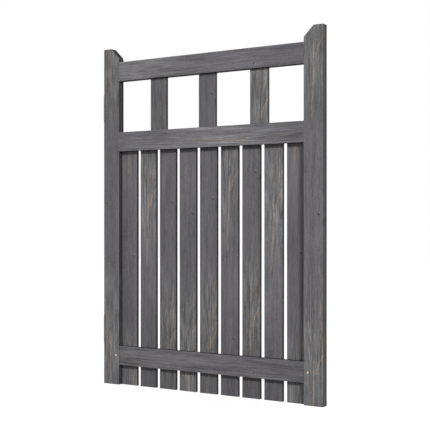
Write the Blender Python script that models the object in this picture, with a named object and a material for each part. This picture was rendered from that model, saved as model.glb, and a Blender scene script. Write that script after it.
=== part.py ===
"""Garden gate: a framed, ledged leaf of planed softwood on two butt hinges.

The leaf has two stiles, three rails, three pickets in its upper opening and nine boards below.
+X runs along the gate from the hinge side to the latch side, +Y from the front to the back,
+Z up. The origin is on the post's face, at the middle of the lower hinge's post flap.
Metres throughout.
"""

import math

import bmesh
import bpy
from mathutils import Matrix, Vector

# Leaf
LEAF_WIDTH = 0.900
LEAF_HEIGHT = 1.230
TIMBER_WIDTH = 0.070  # one width for stiles, rails, pickets and boards
FRAME_THICKNESS = 0.028
ARRIS = 0.0015  # rounding of the timber's edges
STILE_CHAMFER = 0.036  # cut corner at the top of each stile, on its inner side

# Heights of the rails' lower edges above the leaf's bottom
BOTTOM_RAIL_Z = 0.0725
MIDDLE_RAIL_Z = 0.8525
TOP_RAIL_Z = 1.1085

# The bottom rail is thinner than the frame: the boards pass behind it, flush with the back
LEDGE_SETBACK = 0.001
BOARD_THICKNESS = 0.0117
BOARD_COUNT = 9
REBATE_HEIGHT = 0.030  # step in the back of the middle rail that takes the boards' top ends

PICKET_COUNT = 3
PICKET_THICKNESS = 0.010

# Mortise and tenon joints
TENON_LENGTH = 0.045
TENON_SHOULDER = 0.010  # from a rail's edge to its tenon
RAIL_TENON_THICKNESS = 0.010
LEDGE_TENON_THICKNESS = 0.008
STUB_TENON_LENGTH = 0.015  # on the pickets
STUB_TENON_SHOULDER = 0.001  # from a picket's face to its tenon
PEG_RADIUS = 0.004
PEG_INSET = 0.015  # from the stile's inner edge to the peg's axis

# Board screws, driven from the back
SCREW_LENGTH = 0.020
SCREW_RADIUS = 0.00175
SCREW_HEAD_RADIUS = 0.0035
SCREW_HEAD_HEIGHT = 0.0022
SCREW_POINT_LENGTH = 0.004

# Butt hinges
HINGE_HEIGHT = 0.100
LOWER_HINGE_Z = 0.200  # middles of the hinges above the leaf's bottom
UPPER_HINGE_Z = 1.015
FLAP_WIDTH = 0.020
FLAP_THICKNESS = 0.0025
FLAP_CLEARANCE = 0.0009  # between the flaps of a closed gate
KNUCKLE_COUNT = 5
KNUCKLE_RADIUS = 0.005
TAB_START = 0.005  # where the plate's tabs to the knuckles start, from the flap's middle
TAB_CLEARANCE = 0.0009  # from a tab's end to the pin
PIN_RADIUS = 0.0025
PIN_HEAD_RADIUS = 0.0045
PIN_HEAD_TOP_RADIUS = 0.0027
PIN_HEAD_HEIGHT = 0.002
FLAP_HOLES = ((-0.004, -0.036), (0.004, -0.014), (0.004, 0.014), (-0.004, 0.036))  # (y, z)
FLAP_HOLE_RADIUS = 0.00225
COUNTERSINK_DEPTH = 0.0015

GAP = 0.0003  # left between touching pieces
CUT = 0.010  # how far a cutter runs past the face that it cuts
TURNED_SIDES = 20
SCREW_SIDES = 12
MERGE_DISTANCE = 0.00001
SMOOTH_ANGLE = math.radians(35)

# Where the leaf hangs in the part's frame
LEAF_LEFT = 2 * FLAP_THICKNESS + FLAP_CLEARANCE + GAP
LEAF_FRONT = FLAP_WIDTH / 2 - FRAME_THICKNESS
LEAF_BOTTOM = -LOWER_HINGE_Z
PIN_X = FLAP_THICKNESS + FLAP_CLEARANCE / 2
PIN_Y = LEAF_FRONT + FRAME_THICKNESS + GAP + KNUCKLE_RADIUS

OPENING_WIDTH = LEAF_WIDTH - 2 * TIMBER_WIDTH
BOARD_PITCH = (OPENING_WIDTH - 2 * GAP - TIMBER_WIDTH) / (BOARD_COUNT - 1)
WINDOW_WIDTH = (OPENING_WIDTH - PICKET_COUNT * TIMBER_WIDTH) / (PICKET_COUNT + 1)
REBATE_Y = FRAME_THICKNESS - BOARD_THICKNESS - GAP  # depth at which the rebate starts

WOOD = {"base": (0.135, 0.132, 0.139), "roughness": 0.75, "metallic": 0.0}
PEG_WOOD = {"base": (0.52, 0.46, 0.36), "roughness": 0.7, "metallic": 0.0}
ZINC = {"base": (0.56, 0.57, 0.58), "roughness": 0.4, "metallic": 1.0}


def clear_scene():
    for scene_object in list(bpy.data.objects):
        bpy.data.objects.remove(scene_object, do_unlink=True)


def new_collection(name):
    collection = bpy.data.collections.new(name)
    bpy.context.scene.collection.children.link(collection)
    return collection


def at_leaf(x, y, z):
    """A point given from the leaf's left edge, front face and bottom, in the part's frame."""
    return Vector((LEAF_LEFT + x, LEAF_FRONT + y, LEAF_BOTTOM + z))


def principled(name, look):
    material = bpy.data.materials.new(name)
    material.use_nodes = True
    shader = material.node_tree.nodes["Principled BSDF"]
    shader.inputs["Base Color"].default_value = (*look["base"], 1.0)
    shader.inputs["Roughness"].default_value = look["roughness"]
    shader.inputs["Metallic"].default_value = look["metallic"]
    return material


def add_node(name, mesh, where, look, parent=None, turn=None):
    """A named sub-part with its own material, at a place in the part's frame."""
    node = bpy.data.objects.new(name, mesh)
    parts.objects.link(node)
    node.parent = parent
    node.location = where - (parent.location if parent else Vector())
    if turn:
        node.rotation_euler = turn
    # The material sits on the object, because repeated pieces share their mesh
    if not mesh.materials:
        mesh.materials.append(None)
    node.material_slots[0].link = "OBJECT"
    node.material_slots[0].material = principled(name, look)
    return node


def add_cutter(name, mesh):
    cutter = bpy.data.objects.new(name, mesh)
    cutters.objects.link(cutter)
    cutter.hide_render = True
    cutter.display_type = "WIRE"
    return cutter


def combine(node, operation, tool):
    modifier = node.modifiers.new(f"{operation.lower()}_{tool.name}", "BOOLEAN")
    modifier.operation = operation
    modifier.solver = "EXACT"
    modifier.object = tool


def finish_mesh(name, shape):
    mesh = bpy.data.meshes.new(name)
    shape.to_mesh(mesh)
    shape.free()
    return mesh


def grow_box(shape, low, high):
    """Adds a box between two corners to a bmesh and returns its vertices."""
    centre = (Vector(low) + Vector(high)) / 2
    size = Vector(high) - Vector(low)
    matrix = Matrix.Translation(centre) @ Matrix.Diagonal((*size, 1.0))
    return bmesh.ops.create_cube(shape, size=1.0, matrix=matrix)["verts"]


def boxes_mesh(name, boxes):
    shape = bmesh.new()
    for low, high in boxes:
        grow_box(shape, low, high)
    return finish_mesh(name, shape)


def timber_mesh(name, size, chamfered_side=0):
    """A planed piece centred on its origin. chamfered_side, -1 or 1, is the side in X whose top
    corner is cut off."""
    shape = bmesh.new()
    half = Vector(size) / 2
    grow_box(shape, -half, half)
    if chamfered_side:
        corner = [
            edge
            for edge in shape.edges
            if all(v.co.x * chamfered_side > 0 and v.co.z > 0 for v in edge.verts)
        ]
        bmesh.ops.bevel(shape, geom=corner, offset=STILE_CHAMFER, segments=1, affect="EDGES")
    bmesh.ops.bevel(
        shape, geom=shape.edges[:], offset=ARRIS, segments=2, profile=0.5, affect="EDGES"
    )
    return finish_mesh(name, shape)


def turned_mesh(name, profile, sides=TURNED_SIDES):
    """A solid of revolution about Z. The profile runs from the axis at the top, down the outer
    side, to the axis at the bottom, as (radius, height) pairs."""
    shape = bmesh.new()
    points = [shape.verts.new((radius, 0.0, height)) for radius, height in profile]
    lines = [shape.edges.new(pair) for pair in zip(points, points[1:])]
    bmesh.ops.spin(
        shape,
        geom=points + lines,
        cent=(0, 0, 0),
        axis=(0, 0, 1),
        angle=math.tau,
        steps=sides,
        use_merge=True,
    )
    bmesh.ops.remove_doubles(shape, verts=shape.verts, dist=MERGE_DISTANCE)
    bmesh.ops.recalc_face_normals(shape, faces=shape.faces)
    mesh = finish_mesh(name, shape)
    mesh.shade_smooth()
    mesh.set_sharp_from_angle(angle=SMOOTH_ANGLE)
    return mesh


def copies_mesh(name, mesh, places, turn):
    """One mesh that holds a copy of another at each place."""
    shape = bmesh.new()
    for place in places:
        copy = mesh.copy()
        copy.transform(Matrix.Translation(place) @ turn)
        shape.from_mesh(copy)
        bpy.data.meshes.remove(copy)
    return finish_mesh(name, shape)


def cylinder_profile(radius, top, bottom):
    return [(0, top), (radius, top), (radius, bottom), (0, bottom)]


def screw_profile(extra=0.0):
    """A countersunk screw, its head's face at height 0. extra makes the hole that it sits in."""
    shank = SCREW_RADIUS + extra
    head = SCREW_HEAD_RADIUS + extra
    top = CUT if extra else 0.0
    profile = [(0, top), (head, top)]
    if extra:
        profile.append((head, 0.0))
    return profile + [
        (shank, -SCREW_HEAD_HEIGHT - extra),
        (shank, SCREW_POINT_LENGTH - SCREW_LENGTH),
        (0, -SCREW_LENGTH - extra),
    ]


def board_left(index):
    return TIMBER_WIDTH + GAP + index * BOARD_PITCH


def picket_left(index):
    return TIMBER_WIDTH + WINDOW_WIDTH + index * (TIMBER_WIDTH + WINDOW_WIDTH)


def make_stiles():
    size = (TIMBER_WIDTH, FRAME_THICKNESS, LEAF_HEIGHT)
    stiles = []
    for name, left, chamfered_side in (
        ("hinge_stile", 0.0, 1),
        ("latch_stile", LEAF_WIDTH - TIMBER_WIDTH, -1),
    ):
        mesh = timber_mesh(name, size, chamfered_side)
        middle = at_leaf(left + TIMBER_WIDTH / 2, FRAME_THICKNESS / 2, LEAF_HEIGHT / 2)
        stiles.append(add_node(name, mesh, middle, WOOD, leaf_pivot))
    return stiles


def make_rail(name, low_z, front, back, tenon_front, tenon_thickness):
    """A rail with a tenon on each end, and the box that its mortises clear."""
    length = OPENING_WIDTH - 2 * GAP
    mesh = timber_mesh(name, (length, back - front, TIMBER_WIDTH))
    middle = at_leaf(LEAF_WIDTH / 2, (front + back) / 2, low_z + TIMBER_WIDTH / 2)
    rail = add_node(name, mesh, middle, WOOD, leaf_pivot)

    start = TIMBER_WIDTH - TENON_LENGTH
    low = at_leaf(start, tenon_front, low_z + TENON_SHOULDER)
    high = at_leaf(
        LEAF_WIDTH - start,
        tenon_front + tenon_thickness,
        low_z + TIMBER_WIDTH - TENON_SHOULDER,
    )
    tenons = add_cutter(f"{name}_tenons", boxes_mesh(f"{name}_tenons", [(low, high)]))
    combine(rail, "UNION", tenons)

    room = Vector((GAP, GAP, GAP))
    return rail, (low - room, high + room)


def make_rails(stiles):
    full = (0.0, FRAME_THICKNESS)
    centred = (FRAME_THICKNESS - RAIL_TENON_THICKNESS) / 2
    ledge = (LEDGE_SETBACK, REBATE_Y)
    ledge_tenon = (sum(ledge) - LEDGE_TENON_THICKNESS) / 2
    rows = (
        ("top_rail", TOP_RAIL_Z, *full, centred, RAIL_TENON_THICKNESS),
        ("middle_rail", MIDDLE_RAIL_Z, *full, centred, RAIL_TENON_THICKNESS),
        ("bottom_rail", BOTTOM_RAIL_Z, *ledge, ledge_tenon, LEDGE_TENON_THICKNESS),
    )
    rails = []
    mortises = []
    for row in rows:
        rail, mortise = make_rail(*row)
        rails.append(rail)
        mortises.append(mortise)
    tool = add_cutter("mortises", boxes_mesh("mortises", mortises))
    for stile in stiles:
        combine(stile, "DIFFERENCE", tool)
    return rails


def cut_rebate(middle_rail):
    low = at_leaf(TIMBER_WIDTH - CUT, REBATE_Y, MIDDLE_RAIL_Z - CUT)
    high = at_leaf(
        LEAF_WIDTH - TIMBER_WIDTH + CUT, FRAME_THICKNESS + CUT, MIDDLE_RAIL_Z + REBATE_HEIGHT
    )
    tool = add_cutter("board_rebate", boxes_mesh("board_rebate", [(low, high)]))
    combine(middle_rail, "DIFFERENCE", tool)


def make_pickets(top_rail, middle_rail):
    low_z = MIDDLE_RAIL_Z + TIMBER_WIDTH
    height = TOP_RAIL_Z - low_z
    front = (FRAME_THICKNESS - PICKET_THICKNESS) / 2
    size = (TIMBER_WIDTH, PICKET_THICKNESS, height - 2 * GAP)
    room = Vector((GAP, GAP, GAP))
    sockets = []
    for index in range(PICKET_COUNT):
        name = f"picket_{index + 1}"
        left = picket_left(index)
        middle = at_leaf(left + TIMBER_WIDTH / 2, FRAME_THICKNESS / 2, low_z + height / 2)
        picket = add_node(name, timber_mesh(name, size), middle, WOOD, leaf_pivot)
        low = at_leaf(
            left + TENON_SHOULDER, front + STUB_TENON_SHOULDER, low_z - STUB_TENON_LENGTH
        )
        high = at_leaf(
            left + TIMBER_WIDTH - TENON_SHOULDER,
            front + PICKET_THICKNESS - STUB_TENON_SHOULDER,
            low_z + height + STUB_TENON_LENGTH,
        )
        tool = add_cutter(f"{name}_tenons", boxes_mesh(f"{name}_tenons", [(low, high)]))
        combine(picket, "UNION", tool)
        sockets.append((low - room, high + room))
    tool = add_cutter("picket_sockets", boxes_mesh("picket_sockets", sockets))
    combine(top_rail, "DIFFERENCE", tool)
    combine(middle_rail, "DIFFERENCE", tool)


def make_boards():
    top = MIDDLE_RAIL_Z + REBATE_HEIGHT - GAP
    size = (TIMBER_WIDTH, BOARD_THICKNESS, top)
    boards = []
    for index in range(BOARD_COUNT):
        name = f"board_{index + 1}"
        middle = at_leaf(
            board_left(index) + TIMBER_WIDTH / 2,
            FRAME_THICKNESS - BOARD_THICKNESS / 2,
            top / 2,
        )
        boards.append(add_node(name, timber_mesh(name, size), middle, WOOD, leaf_pivot))
    return boards


def make_board_screws(boards, middle_rail, bottom_rail):
    """One screw for each board in the middle rail's rebate and one in the bottom rail."""
    heights = {
        "top": MIDDLE_RAIL_Z + REBATE_HEIGHT / 2,
        "bottom": BOTTOM_RAIL_Z + TIMBER_WIDTH / 2,
    }
    from_back = (-math.pi / 2, 0, 0)
    places = []
    for end, height in heights.items():
        for index in range(BOARD_COUNT):
            x = board_left(index) + TIMBER_WIDTH / 2
            place = at_leaf(x, FRAME_THICKNESS, height)
            places.append(place)
            add_node(
                f"board_screw_{end}_{index + 1}", screw_mesh, place, ZINC, leaf_pivot, from_back
            )
    turn = Matrix.Rotation(-math.pi / 2, 4, "X")
    holes = copies_mesh("board_screw_holes", hole_mesh, places, turn)
    tool = add_cutter("board_screw_holes", holes)
    for node in (*boards, middle_rail, bottom_rail):
        combine(node, "DIFFERENCE", tool)


def make_pegs(stiles, bottom_rail):
    """A through peg in each stile that locks the bottom rail's tenon."""
    peg = turned_mesh("peg", cylinder_profile(PEG_RADIUS, FRAME_THICKNESS, 0.0))
    bore = turned_mesh("peg_bore", cylinder_profile(PEG_RADIUS + GAP, FRAME_THICKNESS + CUT, -CUT))
    height = BOTTOM_RAIL_Z + TIMBER_WIDTH / 2
    inset = TIMBER_WIDTH - PEG_INSET
    places = {
        "hinge_stile_peg": at_leaf(inset, 0.0, height),
        "latch_stile_peg": at_leaf(LEAF_WIDTH - inset, 0.0, height),
    }
    for name, place in places.items():
        add_node(name, peg, place, PEG_WOOD, leaf_pivot, (-math.pi / 2, 0, 0))
    turn = Matrix.Rotation(-math.pi / 2, 4, "X")
    tool = add_cutter("peg_bores", copies_mesh("peg_bores", bore, places.values(), turn))
    for node in (*stiles, bottom_rail):
        combine(node, "DIFFERENCE", tool)


def knuckle_spans(owner):
    """Height ranges of the knuckles of one flap: owner 0 has the outer ones, owner 1 the rest."""
    pitch = HINGE_HEIGHT / KNUCKLE_COUNT
    for index in range(owner, KNUCKLE_COUNT, 2):
        low = -HINGE_HEIGHT / 2 + index * pitch
        yield low + GAP / 2, low + pitch - GAP / 2


def make_flap(name, flap_left, owner, height, parent):
    """A hinge flap with its knuckles, as one piece."""
    low = Vector((flap_left, -FLAP_WIDTH / 2, height - HINGE_HEIGHT / 2))
    high = Vector((flap_left + FLAP_THICKNESS, FLAP_WIDTH / 2, height + HINGE_HEIGHT / 2))
    middle = (low + high) / 2
    flap = add_node(name, boxes_mesh(name, [(low - middle, high - middle)]), middle, ZINC, parent)

    # Tabs carry the plate into the knuckles' walls, short of the pin's bore
    tab_end = PIN_Y - PIN_RADIUS - TAB_CLEARANCE
    tabs = []
    barrels = bmesh.new()
    for start, end in knuckle_spans(owner):
        tab_low = (flap_left, TAB_START, height + start)
        tabs.append((tab_low, (flap_left + FLAP_THICKNESS, tab_end, height + end)))
        bmesh.ops.create_cone(
            barrels,
            cap_ends=True,
            segments=TURNED_SIDES,
            radius1=KNUCKLE_RADIUS,
            radius2=KNUCKLE_RADIUS,
            depth=end - start,
            matrix=Matrix.Translation((PIN_X, PIN_Y, height + (start + end) / 2)),
        )
    combine(flap, "UNION", add_cutter(f"{name}_tabs", boxes_mesh(f"{name}_tabs", tabs)))
    barrel_mesh = finish_mesh(f"{name}_barrels", barrels)
    combine(flap, "UNION", add_cutter(f"{name}_barrels", barrel_mesh))
    return flap


def make_hinge(name, hinge_z, stile):
    """A butt hinge: the post flap and its pin stay still, the gate flap turns with the leaf."""
    height = LEAF_BOTTOM + hinge_z
    post_flap = make_flap(f"{name}_post_flap", 0.0, 0, height, None)
    gate_flap_face = FLAP_THICKNESS + FLAP_CLEARANCE
    gate_flap = make_flap(f"{name}_gate_flap", gate_flap_face, 1, height, leaf_pivot)

    half = HINGE_HEIGHT / 2
    pin = turned_mesh(
        f"{name}_pin",
        [
            (0, half + GAP + PIN_HEAD_HEIGHT),
            (PIN_HEAD_TOP_RADIUS, half + GAP + PIN_HEAD_HEIGHT),
            (PIN_HEAD_RADIUS, half + GAP + PIN_HEAD_HEIGHT / 2),
            (PIN_HEAD_RADIUS, half + GAP),
            (PIN_RADIUS, half + GAP),
            (PIN_RADIUS, -half),
            (0, -half),
        ],
    )
    add_node(f"{name}_pin", pin, Vector((PIN_X, PIN_Y, height)), ZINC)
    bore_mesh = turned_mesh(
        f"{name}_bore", cylinder_profile(PIN_RADIUS + GAP, half + CUT, -half - CUT)
    )
    bore_mesh.transform(Matrix.Translation((PIN_X, PIN_Y, height)))
    bore = add_cutter(f"{name}_bore", bore_mesh)
    combine(post_flap, "DIFFERENCE", bore)
    combine(gate_flap, "DIFFERENCE", bore)

    # Screws hold the gate flap to the stile's edge; the post flap's holes wait for the post's own
    places = [Vector((gate_flap_face, y, height + z)) for y, z in FLAP_HOLES]
    head_outwards = Matrix.Rotation(-math.pi / 2, 4, "Y")
    for index, place in enumerate(places):
        turn = (0, -math.pi / 2, 0)
        add_node(f"{name}_screw_{index + 1}", screw_mesh, place, ZINC, leaf_pivot, turn)
    screw_holes = add_cutter(
        f"{name}_screw_holes",
        copies_mesh(f"{name}_screw_holes", hole_mesh, places, head_outwards),
    )
    combine(gate_flap, "DIFFERENCE", screw_holes)
    combine(stile, "DIFFERENCE", screw_holes)

    # The post flap's holes are countersunk from its inner face
    countersunk = turned_mesh(
        f"{name}_countersink",
        [
            (0, CUT),
            (SCREW_HEAD_RADIUS + GAP, CUT),
            (SCREW_HEAD_RADIUS + GAP, 0.0),
            (FLAP_HOLE_RADIUS, -COUNTERSINK_DEPTH),
            (FLAP_HOLE_RADIUS, -CUT),
            (0, -CUT),
        ],
        SCREW_SIDES,
    )
    inner_face = [Vector((FLAP_THICKNESS, y, height + z)) for y, z in FLAP_HOLES]
    towards_leaf = Matrix.Rotation(math.pi / 2, 4, "Y")
    post_holes = add_cutter(
        f"{name}_post_holes",
        copies_mesh(f"{name}_post_holes", countersunk, inner_face, towards_leaf),
    )
    combine(post_flap, "DIFFERENCE", post_holes)


clear_scene()
parts = new_collection("garden_gate")
cutters = new_collection("garden_gate_cutters")

# The leaf's pieces hang on an empty that stands on the pins' axis
leaf_pivot = bpy.data.objects.new("leaf_pivot", None)
leaf_pivot.location = (PIN_X, PIN_Y, 0.0)
parts.objects.link(leaf_pivot)

screw_mesh = turned_mesh("countersunk_screw", screw_profile(), SCREW_SIDES)
hole_mesh = turned_mesh("screw_hole", screw_profile(GAP), SCREW_SIDES)

stile_nodes = make_stiles()
top_rail_node, middle_rail_node, bottom_rail_node = make_rails(stile_nodes)
cut_rebate(middle_rail_node)
make_pickets(top_rail_node, middle_rail_node)
board_nodes = make_boards()
make_board_screws(board_nodes, middle_rail_node, bottom_rail_node)
make_pegs(stile_nodes, bottom_rail_node)
make_hinge("lower_hinge", LOWER_HINGE_Z, stile_nodes[0])
make_hinge("upper_hinge", UPPER_HINGE_Z, stile_nodes[0])
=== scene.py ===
"""Garden gate: the visible surfaces of a framed, ledged leaf on two butt hinges.

Every timber is a bar lofted along its grain, with eased arrises and planing relief in the
mesh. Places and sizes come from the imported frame. Metres, +X from hinge side to latch side,
+Y from front to back, +Z up.
"""

import math

import bmesh
import bpy
import numpy as np
from mathutils import Matrix, Vector


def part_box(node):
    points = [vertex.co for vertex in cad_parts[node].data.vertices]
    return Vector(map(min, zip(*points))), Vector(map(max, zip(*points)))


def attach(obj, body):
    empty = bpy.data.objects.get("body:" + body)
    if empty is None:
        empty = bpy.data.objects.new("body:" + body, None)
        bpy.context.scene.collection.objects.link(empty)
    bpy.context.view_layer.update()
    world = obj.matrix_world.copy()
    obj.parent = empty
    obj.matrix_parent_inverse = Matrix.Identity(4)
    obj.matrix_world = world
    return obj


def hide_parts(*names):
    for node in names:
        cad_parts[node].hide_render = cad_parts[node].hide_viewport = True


MM = 0.001

# Timber
FRONT_ARRIS = 0.9 * MM  # rounding of the long edges
BACK_ARRIS = 0.7 * MM
END_ARRIS = 0.8 * MM
TIGHT_ARRIS = 0.3 * MM  # where two flush pieces meet
ARC_STEPS = 4
CELL_ACROSS = 2.6 * MM
CELL_ALONG = 5.0 * MM
STILE_CHAMFER = 36.0 * MM
JOINT_GAP = 0.1 * MM
LEDGE_SHOULDER = 0.8 * MM  # easing of the bottom rail's ends, which shows as a dark joint line
FIBRE_RELIEF = 0.14 * MM
FIBRE_PITCH = (3.6 * MM, 3.6 * MM, 70 * MM)
PLANE_RELIEF = 0.10 * MM
PLANE_PITCH = (16 * MM, 16 * MM, 190 * MM)
FLUSH_START = -1.0 * MM  # over this stretch from a rail's edge a stile's arris tightens
FLUSH_END = 2.0 * MM
BOARD_COUNT = 9
PICKET_COUNT = 3
RAIL_SEED = 11
PICKET_SEED = 20
BOARD_SEED = 30

# Fasteners
PEG_BORE_CLEARANCE = 0.15 * MM
PEG_BORE_REACH = 10 * MM  # how far the bore's cutter runs past each end of the peg
PEG_EASE = 0.5 * MM
PEG_SIDES = 32
SCREW_HEAD_RADIUS = 3.5 * MM
SCREW_HEAD_DEPTH = 2.2 * MM
SCREW_SHANK_RADIUS = 1.75 * MM
SCREW_LENGTH = 20.0 * MM
SCREW_POINT = 4.0 * MM
SCREW_SIDES = 32
RECESS_WIDTH = 0.9 * MM  # of the cross in the head
RECESS_REACH = 2.1 * MM
RECESS_DEPTH = 1.4 * MM
BORE_CLEARANCE = 0.1 * MM  # round screw heads and pins
SHANK_CLEARANCE = 0.2 * MM
BOARD_CUTTER = (5 * MM, 15 * MM)  # how far a countersink's cutter runs out of a face, and in
FLAP_CUTTER = (4 * MM, 10 * MM)
HINGE_SCREW_COUNT = 4

# Hinges
FLAP_CORNER = 2.5 * MM
KNUCKLE_COUNT = 5
KNUCKLE_GAP = 0.3 * MM
KNUCKLE_RADIUS = 5.0 * MM
STRAP_OVERLAP = 2.0 * MM  # how far a knuckle's strap runs onto the flap's plate
STRAP_INSET = Vector((0.03, 0.0, 0.1)) * MM  # keeps the strap inside the faces that it joins
FLAP_THICKNESS = 2.5 * MM
METAL_EASE = 0.3 * MM
PIN_RADIUS = 2.5 * MM
COLLAR_GAP = 0.2 * MM  # between the pin's head and the top knuckle
ROUND_SIDES = 40
SMOOTH_ANGLE = math.radians(32)

# Camera, level and standing to the right of the leaf's middle
CAMERA_AZIMUTH = 32.92  # degrees from square-on
CAMERA_PLACE = (2343.5 * MM, -2865.5 * MM, 589.2 * MM)  # from the leaf's lower left front corner
CAMERA_LENS = 83.40
CAMERA_SHIFT_UP = 0.0197

# Studio
AMBIENT_ABOVE = 0.80
AMBIENT_BELOW = 0.05
KEY_PLACE = Vector((12.8, -8.0, 6.7))  # metres from the leaf's middle
KEY_SIZE = (6.4, 0.5)  # along X and up
KEY_POWER = 4370
BACK_SUN = {"azimuth": 205, "elevation": 30, "strength": 1.0, "spread": 40}
FLOOR_SIZE = 24
FLOOR_DROP = 45 * MM
FLOOR_TONE = (0.2, 0.2, 0.2, 1.0)
FLOOR_GLOW = 0.85
WHITE = (1.0, 1.0, 1.0, 1.0)

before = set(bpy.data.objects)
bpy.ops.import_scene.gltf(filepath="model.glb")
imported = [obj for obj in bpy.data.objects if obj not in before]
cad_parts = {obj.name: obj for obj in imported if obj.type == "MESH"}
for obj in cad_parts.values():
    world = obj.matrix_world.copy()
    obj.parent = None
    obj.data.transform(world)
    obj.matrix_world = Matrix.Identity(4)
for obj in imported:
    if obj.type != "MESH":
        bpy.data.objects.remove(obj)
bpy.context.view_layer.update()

# Front left, front right, back right, back left, for the upright timbers
ARRISES = (FRONT_ARRIS, FRONT_ARRIS, BACK_ARRIS, BACK_ARRIS)

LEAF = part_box("hinge_stile")[0]
INNER_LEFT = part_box("hinge_stile")[1].x
INNER_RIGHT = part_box("latch_stile")[0].x


# ---------------------------------------------------------------- noise

NOISE_SIZE = 48


def noise(points, pitch, seed):
    """Smooth value noise from 0 to 1 at points (n, 3), on a lattice with a pitch per axis."""
    table = np.random.default_rng(seed).random((NOISE_SIZE,) * 3)
    place = np.asarray(points) / np.asarray(pitch) + 1000.0
    cell = np.floor(place).astype(int)
    t = place - cell
    t = t * t * (3 - 2 * t)
    total = np.zeros(len(place))
    for corner in np.ndindex(2, 2, 2):
        weight = np.prod(np.where(corner, t, 1 - t), axis=1)
        index = (cell + corner) % NOISE_SIZE
        total += weight * table[index[:, 0], index[:, 1], index[:, 2]]
    return total


def grain_relief(points, seed):
    """How far the surface sits below the planed face: fibre ridges and shallow plane marks.
    The points are (across, depth, along)."""
    fibre = noise(points, FIBRE_PITCH, seed)
    wave = noise(points, PLANE_PITCH, seed + 1)
    return FIBRE_RELIEF * fibre**2 + PLANE_RELIEF * wave


# ---------------------------------------------------------------- lofted timber


class Section:
    """A right-angled outline with rounded corners, given anticlockwise, always cut into the
    same number of points, so that it can change along a loft."""

    def __init__(self, corners):
        sides = zip(corners, corners[1:] + corners[:1])
        lengths = [(Vector(b) - Vector(a)).length for a, b in sides]
        self.cells = [max(1, round(length / CELL_ACROSS)) for length in lengths]

    def points(self, corners, radii):
        """Points and outward normals of the outline for these corners and radii."""
        count = len(corners)
        corners = [np.array(corner) for corner in corners]
        places = []
        normals = []
        for i in range(count):
            before, here, after = corners[i - 1], corners[i], corners[(i + 1) % count]
            into = (here - before) / np.linalg.norm(here - before)
            out = (after - here) / np.linalg.norm(after - here)
            turn = 1.0 if into[0] * out[1] - into[1] * out[0] > 0 else -1.0
            centre = here + radii[i] * (out - into)
            for step in range(ARC_STEPS + 1):
                angle = math.pi / 2 * step / ARC_STEPS
                outward = math.sin(angle) * into - math.cos(angle) * out
                places.append(centre + radii[i] * outward)
                normals.append(turn * outward)
            straight = np.array([out[1], -out[0]])
            end = after - radii[(i + 1) % count] * out
            start = places[-1]
            for step in range(1, self.cells[i]):
                places.append(start + (end - start) * step / self.cells[i])
                normals.append(straight)
        return np.array(places), np.array(normals)


def stations_between(start, end, ease, marks=()):
    """Places of the loft's sections: even cells, fine steps at the eased ends and extra marks."""
    count = max(2, round((end - start) / CELL_ALONG))
    inner = np.linspace(start + ease, end - ease, count)
    steps = ease * (1 - np.cos(np.linspace(0, math.pi / 2, 4)))
    extra = [mark for mark in marks if start + ease < mark < end - ease]
    places = np.concatenate([start + steps, inner, end - steps, extra])
    return np.unique(np.round(places, 7))


def loft_timber(name, corners_at, radii_at, start, end, axis, seed, ease=END_ARRIS, marks=()):
    """A bar along X or Z. corners_at and radii_at give its section at a place along it."""
    section = Section(corners_at(start + (end - start) / 2))
    stations = stations_between(start, end, ease, marks)
    rings = []
    for place in stations:
        outline, normals = section.points(corners_at(place), radii_at(place))
        from_end = min(place - start, end - place, ease)
        inset = ease - math.sqrt(max(ease**2 - (ease - from_end) ** 2, 0.0))
        ring = np.column_stack([outline, np.full(len(outline), place)])
        sunk = inset + grain_relief(ring, seed)
        ring[:, :2] -= normals * sunk[:, None]
        rings.append(ring)
    count = len(rings[0])
    points = np.concatenate(rings)
    if axis == "X":
        points = points[:, [2, 0, 1]]
    ring_faces = []
    for ring in range(len(rings) - 1):
        low = ring * count
        for i in range(count):
            j = (i + 1) % count
            ring_faces.append((low + i, low + j, low + count + j, low + count + i))
    last = (len(rings) - 1) * count
    caps = [tuple(range(count))[::-1], tuple(range(last, last + count))]
    mesh = bpy.data.meshes.new(name)
    mesh.from_pydata(points.tolist(), [], ring_faces + caps)
    mesh.shade_smooth()
    mesh.set_sharp_from_angle(angle=SMOOTH_ANGLE)
    return mesh


def rectangle(low, high):
    return [(low[0], low[1]), (high[0], low[1]), (high[0], high[1]), (low[0], high[1])]


def smooth_step(value, start, end):
    t = min(max((value - start) / (end - start), 0.0), 1.0)
    return t * t * (3 - 2 * t)


# ---------------------------------------------------------------- pieces


def add_piece(name, mesh, body, nodes, material, place=Matrix.Identity(4)):
    """A visible piece that rides on a body and stands for CAD nodes."""
    piece = bpy.data.objects.new(name, mesh)
    bpy.context.scene.collection.objects.link(piece)
    piece.matrix_world = place
    if not mesh.materials:
        mesh.materials.append(material)
    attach(piece, body)
    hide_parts(*nodes)
    return piece


def finish_mesh(name, shape):
    mesh = bpy.data.meshes.new(name)
    shape.to_mesh(mesh)
    shape.free()
    return mesh


def cut_mesh(mesh, tools, operation="DIFFERENCE"):
    """The mesh after Boolean operations with other meshes, which are used up."""
    base = bpy.data.objects.new("work", mesh)
    bpy.context.scene.collection.objects.link(base)
    helpers = []
    for tool in tools:
        helper = bpy.data.objects.new("tool", tool)
        bpy.context.scene.collection.objects.link(helper)
        modifier = base.modifiers.new("cut", "BOOLEAN")
        modifier.operation = operation
        modifier.solver = "EXACT"
        modifier.object = helper
        helpers.append(helper)
    bpy.context.view_layer.update()
    graph = bpy.context.evaluated_depsgraph_get()
    result = bpy.data.meshes.new_from_object(base.evaluated_get(graph))
    result.name = mesh.name
    for used in (base, *helpers):
        bpy.data.objects.remove(used)
    for used in (mesh, *tools):
        bpy.data.meshes.remove(used)
    return result


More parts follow.
